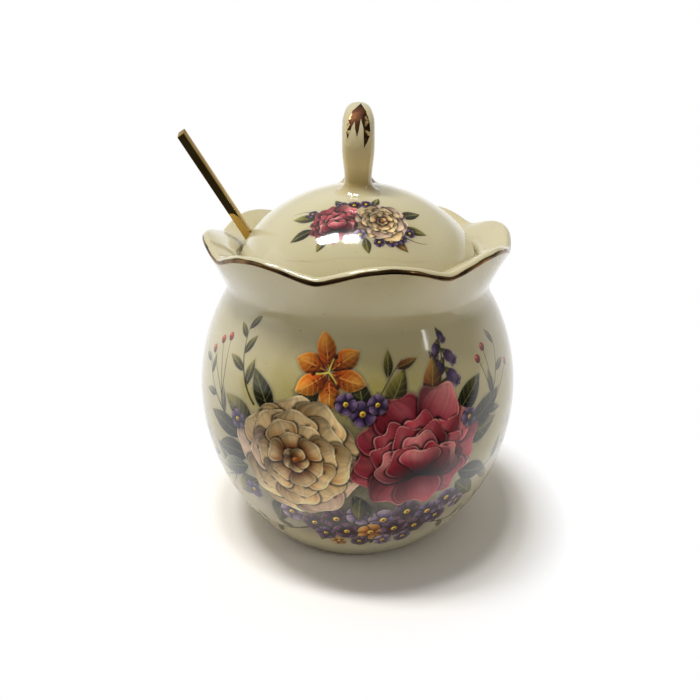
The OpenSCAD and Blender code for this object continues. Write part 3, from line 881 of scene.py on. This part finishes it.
# Rings of the camellia, from outside in: petals, length and width as shares of its radius
CAMELLIA_RINGS = ((9, 1.0, 0.84), (8, 0.8, 0.7), (7, 0.6, 0.56), (6, 0.42, 0.42))
# Skirt of the peony in degrees, then the rows of its cup: degrees, length, width and colours
PEONY_SKIRT = (205, 335, 180, 0, 150, 30, 232, 308, 118, 62, 270)
PEONY_CUP = (((125, 55, 90), 1.06, 0.62, CRIMSON), ((146, 34, 108, 72), 0.9, 0.6, CRIMSON),
             ((160, 20, 90), 0.74, 0.62, CRIMSON_PALE), ((138, 42), 0.6, 0.66, CRIMSON),
             ((88,), 0.46, 0.74, CRIMSON_PALE))
LILY_PETALS = (38, 158, 278, 98, 218, 338)


def camellia(sheet, middle, radius):
    """A full cream flower: rings of round petals, each ring shorter and turned by about half a petal."""
    turn = 0.3
    for ring, (count, reach, width) in enumerate(CAMELLIA_RINGS):
        for k in (*range(0, count, 2), *range(1, count, 2)):
            angle = turn + 2 * math.pi * k / count + sheet.rng.uniform(-0.08, 0.08)
            length = radius * reach * sheet.rng.uniform(0.92, 1.06) * 0.94
            cool = ring < 2 and sheet.rng.uniform() < 0.3
            sheet.petal(polar(middle, angle, 0.06 * radius), angle, length, radius * width,
                        CREAM_COOL if cool else CREAM, widest=0.72, blunt=0.55, cup=-0.9, shade=0.36,
                        rim=CREAM_RIM, rim_w=0.03 * radius, veins=0.08, frill=0.035,
                        bend=sheet.rng.uniform(-0.06, 0.06))
        turn += math.pi / count + 0.1
    for angle in turn + around(5):
        sheet.petal(polar(middle, angle, -0.03 * radius), angle, 0.24 * radius, 0.22 * radius, CREAM,
                    widest=0.6, cup=-1, shade=0.4, rim=CREAM_RIM, rim_w=0.025 * radius, shadow=0.45)
    sheet.bead(middle, 0.05 * radius, (170, 110, 52), 0.3)


def peony(sheet, middle, radius):
    """A crimson flower with a skirt of frilled petals and a cup of upright ones above it."""
    for k, angle in enumerate(np.radians(PEONY_SKIRT)):
        length = radius * (0.98 if k % 3 else 1.06)
        sheet.petal(polar(middle, angle, 0.08 * radius), angle, length, radius * 0.86,
                    CRIMSON_PALE if k % 4 == 1 else CRIMSON, widest=0.7, blunt=0.5, cup=-0.8, shade=0.42,
                    rim=(238, 196, 190), rim_w=0.034 * radius, rim_strength=0.6, frill=0.07, veins=0.1,
                    bend=sheet.rng.uniform(-0.08, 0.08), shadow=0.55)
    cup_foot = (middle[0], middle[1] - 0.42 * radius)
    for degrees, reach, width, stops in PEONY_CUP:
        for angle in np.radians(degrees):
            sheet.petal(cup_foot, angle, radius * reach, radius * width, stops, widest=0.68, blunt=0.48,
                        cup=0.9, shade=0.36, rim=(242, 204, 198), rim_w=0.03 * radius, rim_strength=0.8,
                        frill=0.07, veins=0.07, shadow=0.6)


def lily(sheet, middle, radius):
    """An orange flower of six pointed petals with freckles and long anthers."""
    turns = np.radians(LILY_PETALS)
    for k, angle in enumerate(turns):
        length = radius * (1.0 if k > 2 else 0.95)
        sheet.petal(polar(middle, angle, 0.04 * radius), angle, length, radius * 0.56, ORANGE, widest=0.55,
                    blunt=0.85, bend=0.1 if k % 2 else -0.1, cup=0.9, shade=0.4, rim=(248, 214, 150),
                    rim_w=0.05 * radius, rim_strength=0.6, veins=0.08, midrib=(244, 202, 120))
        for _ in range(6):
            aside = sheet.rng.uniform(-0.22, 0.22)
            spot = polar(middle, angle + aside, radius * sheet.rng.uniform(0.2, 0.5))
            sheet.bead(spot, 0.022 * radius, (96, 34, 16), 0.0)
    for angle in turns[:3] + 0.5:
        bow, tip = polar(middle, angle + 0.2, 0.25 * radius), polar(middle, angle, 0.42 * radius)
        sheet.stroke([middle, bow, tip], 0.045 * radius, (206, 200, 110), 0.7)
        sheet.bead(tip, 0.065 * radius, (84, 36, 18), 0.2)


def floret(sheet, middle, radius, stops=VIOLET):
    """A small five-petalled flower with a yellow eye."""
    for angle in sheet.rng.uniform(0, 6) + around(5):
        sheet.petal(polar(middle, angle, 0.05 * radius), angle, radius, radius * 1.05, stops, widest=0.68,
                    blunt=0.5, cup=0.8, shade=0.3, rim=(214, 200, 226), rim_w=0.09 * radius,
                    rim_strength=0.5, shadow=0.55)
    sheet.bead(middle, 0.24 * radius, (226, 190, 84), 0.4)
    sheet.bead(middle, 0.09 * radius, (150, 74, 30), 0.0)


def bell(sheet, top, angle, length):
    """A hanging violet bell flower with a green cap and a flared, pointed mouth."""
    mouth = polar(top, angle, 0.68 * length)
    for spread in (0.75, -0.75, 0.0):
        sheet.petal(mouth, angle + spread, 0.42 * length, 0.3 * length, LILAC if spread else VIOLET,
                    blunt=0.8, cup=0.8, rim=(216, 204, 228), rim_w=0.16, rim_strength=0.6, shadow=0.25)
    sheet.petal(top, angle, 0.86 * length, 0.6 * length, VIOLET, widest=0.6, shade=0.5, rim=(200, 186, 218),
                rim_w=0.2, rim_strength=0.5, veins=0.09, shadow=0.3)
    sheet.petal(polar(top, angle, -0.08 * length), angle, 0.3 * length, 0.26 * length, LEAF, shadow=0.2)


def leaf(sheet, base, degrees, length, width, stops=LEAF, bend=0.08):
    sheet.petal(base, math.radians(degrees), length, width, stops, widest=0.45, blunt=0.95, bend=bend,
                shade=0.5, veins=0.03, midrib=(176, 172, 112), rim=(170, 166, 108), rim_w=0.22,
                rim_strength=0.35, shadow=0.4)


def sprig(sheet, foot, bow, tip, leaves, stops=LEAF):
    """A bowed stem with leaves on alternate sides: each leaf is a share along it and a length."""
    foot, bow, tip = np.array([foot, bow, tip], float)
    sheet.stroke([foot, bow, tip], 0.75, STEM)
    for k, (share, length) in enumerate(leaves):
        side = 1 if k % 2 else -1
        way = 2 * (1 - share) * (bow - foot) + 2 * share * (tip - bow)
        turn = math.degrees(math.atan2(way[1], way[0])) + 38 * side
        leaf(sheet, bowed(foot, bow, tip, share), turn, length, 0.36 * length, stops, 0.12 * side)


def berries(sheet, foot, spots):
    """Red berries on thin stalks from one point."""
    for s, t in spots:
        bow = (0.5 * (foot[0] + s) + 0.8, 0.5 * (foot[1] + t) + 0.6)
        sheet.stroke([foot, bow, (s, t)], 0.42, STEM, 0.6)
        sheet.bead((s, t), 1.25, (158, 36, 26))
        sheet.bead((s + 0.3, t - 0.75), 0.28, (60, 24, 14), 0.0)


# Soft washes of the two bouquets: middle, reach, colour and strength
BELLY_WASHES = (
    ((-20, 15), (17, 10), (192, 182, 84), 0.6), ((6, 17), (17, 10), (194, 184, 78), 0.75),
    ((38, 4), (10, 16), (188, 176, 104), 0.45), ((-40, -6), (10, 14), (180, 172, 110), 0.4),
    ((6, -24), (26, 9), (168, 146, 172), 0.5), ((-28, -22), (14, 9), (176, 160, 168), 0.4),
    ((0, 2), (30, 20), (150, 138, 84), 0.45), ((0, -3), (27, 15), (58, 52, 30), 0.85),
    ((0, -17), (25, 5), (58, 42, 48), 0.8), ((4, -25), (22, 7), (46, 36, 52), 0.85))
POSY_WASHES = (((0, 0), (15, 7), (176, 168, 100), 0.45), ((9, -4), (8, 4), (172, 150, 172), 0.4))
# Sprigs: foot, bow, tip, leaves and colours
LOW_LEAVES = ((0.3, 7), (0.55, 6.5), (0.8, 6), (1.0, 5))
BELLY_SPRIGS = (
    ((-30, 12), (-37, 18), (-38, 31), ((0.3, 8), (0.5, 8), (0.72, 7), (0.9, 6), (1.0, 6.5))),
    ((-34, 2), (-46, 6), (-54, 17), ((0.35, 8), (0.6, 7), (0.85, 6.5), (1.0, 6)), LEAF_GREY),
    ((-34, -12), (-48, -14), (-57, -6), ((0.3, 9), (0.6, 8), (0.85, 7), (1.0, 6)), LEAF_GREY),
    ((20, 14), (27, 22), (26, 34), ((0.25, 7), (0.45, 7))),
    ((32, 4), (46, 8), (50, 24), ((0.3, 8), (0.5, 7.5), (0.75, 6.5), (1.0, 6))),
    ((31, -12), (46, -14), (56, -5), ((0.3, 9), (0.55, 8), (0.8, 7), (1.0, 6)), LEAF_GREY),
    ((-14, -26), (-26, -34), (-38, -32), LOW_LEAVES), ((22, -26), (34, -33), (44, -27), LOW_LEAVES))
# Bells: top, degrees and length
BELLY_BELLS = (
    ((26.0, 33.5), -64, 4.2), ((25.6, 30.5), -120, 5.0), ((26.4, 28.0), -48, 5.6),
    ((26.2, 25.5), -128, 6.0), ((26.2, 23.0), -50, 6.2))
# Berries: foot of their stalks and spots
BELLY_BERRIES = (
    ((-44, 10), ((-49.5, 25), (-45.5, 27), (-53.5, 21))), ((44, 8), ((43, 25), (39.5, 22.5), (55, 17))),
    ((-40, -14), ((-50, -20), (-46.5, -23), (-53.5, -15.5))))
# Leaves: base, degrees, length, width and colours
BELLY_LEAVES = (
    ((-16, 12), 62, 13, 5.6), ((-24, 10), 118, 14, 6.2, LEAF_DARK), ((-30, 6), 150, 13, 6.4),
    ((-32, -4), 184, 15, 7.4, LEAF_DARK), ((-30, -12), 216, 14, 6.6), ((-22, -16), 246, 13, 6.2, LEAF_DARK),
    ((2, 12), 96, 12, 5.4, LEAF_DARK), ((8, 14), 58, 12, 5.6), ((20, 14), 74, 13, 5.8, LEAF_RUST),
    ((28, 10), 34, 14, 6.6, LEAF_DARK), ((30, 2), 4, 15, 7.0), ((30, -8), -24, 14, 6.6, LEAF_DARK),
    ((30, -12), -46, 13, 6.2, LEAF_GREY), ((32, 5), 20, 17, 6.4, LEAF_DARK),
    ((-34, 1), 166, 16, 6.4, LEAF_DARK), ((-33, -8), 200, 16, 6.6, LEAF_GREY),
    ((6, -24), -100, 11, 5.0, LEAF_DARK), ((-8, -24), -118, 11, 5.0))
POSY_LEAVES = (
    ((-11, 2), 158, 7.5, 3.4), ((-12, -2), 196, 7, 3.2, LEAF_DARK), ((-8, -5), 232, 5.5, 2.6),
    ((-4, 5), 112, 5, 2.4, LEAF_DARK), ((2, -6), -84, 5, 2.4), ((11, 3), 26, 7.5, 3.4, LEAF_DARK),
    ((12, -1), -8, 7, 3.0), ((9, -5), -46, 6, 2.8, LEAF_RUST), ((4, 6), 66, 5, 2.2))
# Florets: middle and radius
LOW_FLORETS = (
    ((-20, -21), 3.6), ((-13, -24), 3.8), ((-6, -21), 4.2), ((1, -19), 4.0), ((8, -21.5), 4.4),
    ((15, -19), 4.2), ((22, -21), 4.0), ((28, -17.5), 3.6), ((-10, -29), 3.4), ((-3, -27), 4.0),
    ((4.5, -27.5), 4.2), ((12, -26.5), 4.2), ((19, -27), 3.8), ((26, -24.5), 3.4), ((1, -33), 3.0),
    ((9, -33), 3.2), ((16, -32.5), 3.0), ((-6, -33.5), 2.6), ((33, -21), 2.8))
TOP_FLORETS = (
    ((1.5, 13.5), 3.4), ((-3, 16), 2.8), ((5.5, 15.8), 2.6), ((33, 8), 2.6), ((-36, 6), 2.6),
    ((-33, -17), 3.0))
POSY_FLORETS = (
    ((-1, 6.4), 1.9), ((2.2, 7), 1.7), ((-4.2, 6.6), 1.6), ((11.5, -5), 1.7), ((8.8, -6.6), 1.7),
    ((14, -2.6), 1.5), ((-12.4, 4.6), 1.4), ((5.6, -7.2), 1.5))


def belly_bouquet():
    """The bouquet, in millimetres right of and above the front of the belly's widest level."""
    sheet = Sheet(-64, 64, -44, 35.5, BELLY_PITCH, seed=7)
    for wash in BELLY_WASHES:
        sheet.wash(*wash)
    for row in BELLY_SPRIGS:
        sprig(sheet, *row)
    for top, degrees, length in BELLY_BELLS:
        bell(sheet, top, math.radians(degrees), length)
    for foot, spots in BELLY_BERRIES:
        berries(sheet, foot, spots)
    for row in BELLY_LEAVES:
        leaf(sheet, *row)
    sheet.stroke([(-6, 12), (-9, 18), (-8, 25)], 0.9, STEM)
    lily(sheet, (-8, 24), 10.5)
    sheet.stroke([(4, 12), (6, 20), (13, 27)], 0.5, STEM)
    leaf(sheet, (8.5, 22.5), 82, 7.5, 2.8)
    leaf(sheet, (11, 25), 12, 7, 2.6, LEAF_RUST)
    for middle, radius in LOW_FLORETS:
        floret(sheet, middle, radius, FLORETS[sheet.rng.integers(len(FLORETS))])
    camellia(sheet, (-16.5, -1), 18.5)
    peony(sheet, (17, 2), 16.5)
    for middle, radius in TOP_FLORETS:
        floret(sheet, middle, radius)
    leaf(sheet, (-1, -11), -62, 10, 4.4, LEAF_DARK)
    leaf(sheet, (1, -12), -96, 9, 4.0)
    return sheet


def lid_posy():
    """The small posy, in millimetres right of and above the middle of the lid's front."""
    sheet = Sheet(-21, 21, -12, 12, LID_PITCH, seed=11)
    for wash in POSY_WASHES:
        sheet.wash(*wash)
    for row in POSY_LEAVES:
        leaf(sheet, *row)
    sheet.stroke([(-10, 4), (-14, 7), (-18, 6.5)], 0.35, STEM)
    sheet.stroke([(12, -4), (16, -6), (19, -4.5)], 0.35, STEM)
    for middle, radius in POSY_FLORETS:
        floret(sheet, middle, radius)
    peony(sheet, (-5.6, -0.4), 6.6)
    camellia(sheet, (6.4, 0.2), 7.0)
    floret(sheet, (0.6, -5.0), 1.7, LILAC)
    return sheet


def on_belly(s, t):
    """Points of the belly's outside at distances right of and above the front of its widest level."""
    arc_r = np.where(t < 0, LOWER_ARC_R, UPPER_ARC_R)
    r = BELLY_R - arc_r + (arc_r + PRINT_LIFT) * np.cos(t / arc_r)
    z = BELLY_Z + (arc_r + PRINT_LIFT) * np.sin(t / arc_r)
    past = (t - UPPER_ARC_R * SHOULDER_TURN) / NECK_FILLET_R
    hollow_r = NECK_FILLET_R - PRINT_LIFT
    r = np.where(past > 0, NECK_C[0] - hollow_r * np.cos(SHOULDER_TURN - past), r)
    z = np.where(past > 0, NECK_Z - hollow_r * np.sin(SHOULDER_TURN - past), z)
    return np.stack([r * np.sin(s / BELLY_R), -r * np.cos(s / BELLY_R), z], -1)


def on_lid(s, t):
    """Points of the dome round the middle of its front, at distances right and up."""
    middle = np.array([0, -math.sin(POSY_LEAN), math.cos(POSY_LEAN)])
    right, up = np.array([1.0, 0, 0]), np.array([0, math.cos(POSY_LEAN), math.sin(POSY_LEAN)])
    reach = np.maximum(np.hypot(s, t), 1e-6)
    way = (s / reach)[..., None] * right + (t / reach)[..., None] * up
    ray = np.cos(reach / DOME_R)[..., None] * middle + np.sin(reach / DOME_R)[..., None] * way
    lean = np.arccos(ray[..., 2])
    low = lean > KNUCKLE_TURN
    lean = lean + np.where(low, lean - KNUCKLE_TURN, 0) * (DOME_R / KNUCKLE_R - 1)
    arc_r = np.where(low, KNUCKLE_R, DOME_R)
    r = np.where(low, KNUCKLE_CR, 0) + arc_r * np.sin(lean) + PRINT_LIFT * np.sin(lean)
    z = np.where(low, KNUCKLE_CZ, DOME_CZ) + arc_r * np.cos(lean) + PRINT_LIFT * np.cos(lean)
    flat = ray[..., :2] / np.linalg.norm(ray[..., :2], axis=-1, keepdims=True)
    return np.concatenate([flat * r[..., None], z[..., None]], -1)


def lay_print(name, sheet, place, body, pieces):
    """Turns a painted sheet into pieces with no depth on the glaze, leaving out the bare part."""
    fired = linear(sheet.paint / np.maximum(sheet.cover, 1e-4)[..., None]) ** PRINT_DEPTH * PRINT_WARMTH
    values = np.concatenate([fired, sheet.cover[..., None]], -1)
    cuts = np.linspace(0, len(sheet.s) - 1, pieces + 1).astype(int)
    for k, (left, right) in enumerate(zip(cuts, cuts[1:])):
        columns = slice(left, right + 1)
        s, t = np.meshgrid(sheet.s[columns], sheet.t)
        faces = np.array(grid_faces(*s.shape))
        faces = faces[sheet.cover[:, columns].ravel()[faces].max(1) > BARE_COVER]
        used, faces = np.unique(faces, return_inverse=True)
        faces = faces.reshape(-1, 4).tolist()
        points = place(s, t).reshape(-1, 3)[used]
        mesh = mesh_piece(f"{name}_{k + 1}", points, faces, PRINTED_GLAZE, body, "glaze")
        layer = mesh.color_attributes.new("print", "FLOAT_COLOR", "POINT")
        layer.data.foreach_set("color", values[:, columns].reshape(-1, 4)[used].astype(np.float32).ravel())


# Floor, in metres: it turns white outside the shadow and dim in reflections in front of the jar
FLOOR_HALF = 3.0
FLOOR_SEEN, FLOOR_BOUNCE = (0.95, 0.92, 0.885, 1.0), (0.74, 0.71, 0.67, 1.0)
SHADOW_MIDDLE = (0.004, -0.001, 0.0)
SHADOW_EDGE = (0.053, 0.068)
DUSK_FROM = (-0.045, -0.1)
DUSK_LEVEL = 0.03

# Studio, by the shares of a direction that point back (Y) and up (Z): a range and its two levels
WHITE = grey(1.0)
ROOM_TONES = ((0.0, (0.03, 0.025, 0.02, 1.0)), (0.4, (0.36, 0.35, 0.33, 1.0)), (1.0, (1.0, 1.0, 0.99, 1.0)))
ROOM_BACK, ROOM_LEVELS = (-0.75, -0.1), (0.11, 0.6)
CEILING_UP, CEILING_LEVELS = (0.7, 1.0), (0.0, 0.3)
# The room is darkest towards this side, above and to the right
DARK_SIDE = (0.72, 0.12, 0.68)
DARK_NEAR, DARK_LEVELS = (0.4, 0.95), (1.0, 0.5)
# The white sweep, which only reflections show, lies behind and low
SWEEP_BACK, SWEEP_UP = (0.0, 0.4), (0.1, 0.3)
# The lamps face this point, in metres, and two of them stand in this direction from it
LAMP_TARGET = np.array([0, 0, 0.06])
LAMP_SIDE = (0.726, -0.488, 0.485)


def build_floor():
    """A pale floor that keeps the jar's shadow and fades to white away from it."""
    corners = np.array([(-1, -1, 0), (1, -1, 0), (1, 1, 0), (-1, 1, 0)])
    mesh = new_mesh("floor", corners * FLOOR_HALF / MM, [(0, 1, 2, 3)])
    material, tree, shader, coords = new_material("pale_floor")
    camera, mirrored = tree.rays()
    tree.fill(shader, {"Base Color": tree.mix(camera, FLOOR_BOUNCE, FLOOR_SEEN), "Roughness": 0.7})
    fade = tree.spread(tree.vector_maths("DISTANCE", coords, SHADOW_MIDDLE), SHADOW_EDGE)
    dusk = tree.spread(tree.split(coords)["Y"], DUSK_FROM)
    shown = tree.maths("MAXIMUM", camera, mirrored)
    surface = shader.outputs["BSDF"]
    for place, ray, level in ((fade, shown, 1.0), (dusk, mirrored, DUSK_LEVEL)):
        glow = tree.add("Emission", {"Strength": level})["Emission"]
        share = tree.maths("MULTIPLY", place, ray)
        surface = tree.add("MixShader", {"Fac": share, 1: surface, 2: glow})["Shader"]
    tree.fill(tree.nodes["Material Output"], {"Surface": surface})
    mesh.materials.append(material)
    add_object("floor", mesh)


def build_world():
    """A dim room in front, a paler one behind and overhead, and a white sweep, as a studio has."""
    world = bpy.data.worlds.new("studio")
    bpy.context.scene.world = world
    tree = Nodes(world)
    direction = tree.add("TexCoord")["Generated"]
    split = tree.split(direction)
    sides = tree.spread(split["Y"], ROOM_BACK, ROOM_LEVELS)
    above = tree.spread(split["Z"], CEILING_UP, CEILING_LEVELS)
    dimmed = tree.spread(tree.vector_maths("DOT_PRODUCT", direction, DARK_SIDE), DARK_NEAR, DARK_LEVELS)
    level = tree.maths("MULTIPLY", tree.maths("MAXIMUM", sides, above), dimmed)
    behind, below = tree.spread(split["Y"], SWEEP_BACK), tree.spread(split["Z"], SWEEP_UP, (1.0, 0.0))
    camera, mirrored = tree.rays()
    sweep = tree.maths("MULTIPLY", tree.maths("MULTIPLY", behind, below), mirrored)
    room = tree.mix(sweep, tree.ramp(level, *ROOM_TONES), WHITE)
    tree.fill(tree.nodes["Background"], {"Color": tree.mix(camera, room, WHITE), "Strength": 1.0})


def area_light(name, direction, distance, size, power, roll=0.0, mirrored=True):
    """A soft panel that faces the jar, rolled in degrees; the glaze mirrors it or only takes its light."""
    light = bpy.data.lights.new(name, "AREA")
    light.shape = "RECTANGLE"
    light.size, light.size_y = size
    light.energy = power
    lamp = add_object(name, light)
    aim = np.array(direction) / np.linalg.norm(direction)
    lamp.location = LAMP_TARGET + aim * distance
    wide = np.cross([0, 1, 0], aim)
    wide /= np.linalg.norm(wide)
    tall = np.cross(aim, wide)
    c, s = math.cos(math.radians(roll)), math.sin(math.radians(roll))
    axes = np.stack([c * wide + s * tall, c * tall - s * wide, aim], 1)
    lamp.rotation_euler = Matrix(axes.tolist()).to_euler()
    lamp.visible_glossy = mirrored


def build_lights():
    area_light("window_left", (-0.315, -0.014, 0.949), 0.9, (0.2, 0.12), 4.2)
    area_light("window_right", (-0.07, -0.06, 0.993), 0.9, (0.14, 0.1), 2.9)
    area_light("left_screen", (-0.93, -0.1, 0.3), 0.7, (0.5, 0.6), 0.38)
    area_light("side_strip", LAMP_SIDE, 0.9, (0.035, 0.15), 0.14, roll=52)
    area_light("side_fill", LAMP_SIDE, 0.9, (0.15, 0.15), 0.42, mirrored=False)


def build_camera():
    data = bpy.data.cameras.new("camera")
    data.lens = CAMERA_LENS
    data.sensor_width = SENSOR_W
    data.clip_start = NEAR_CLIP * MM
    camera = add_object("camera", data)
    camera.location = [v * MM for v in CAMERA_AT]
    camera.rotation_euler = (math.radians(90 - CAMERA_PITCH), 0, math.radians(CAMERA_YAW))
    bpy.context.scene.camera = camera


build_jar()
build_rim_gilding()
build_lid()
build_loop()
build_loop_gilding()
build_spoon_bar()
build_spoon_bowl()
lay_print("belly_print", belly_bouquet(), on_belly, "jar", 3)
lay_print("lid_print", lid_posy(), on_lid, "lid", 1)
build_floor()
build_world()
build_lights()
build_camera()
bpy.context.scene.view_settings.view_transform = "Standard"
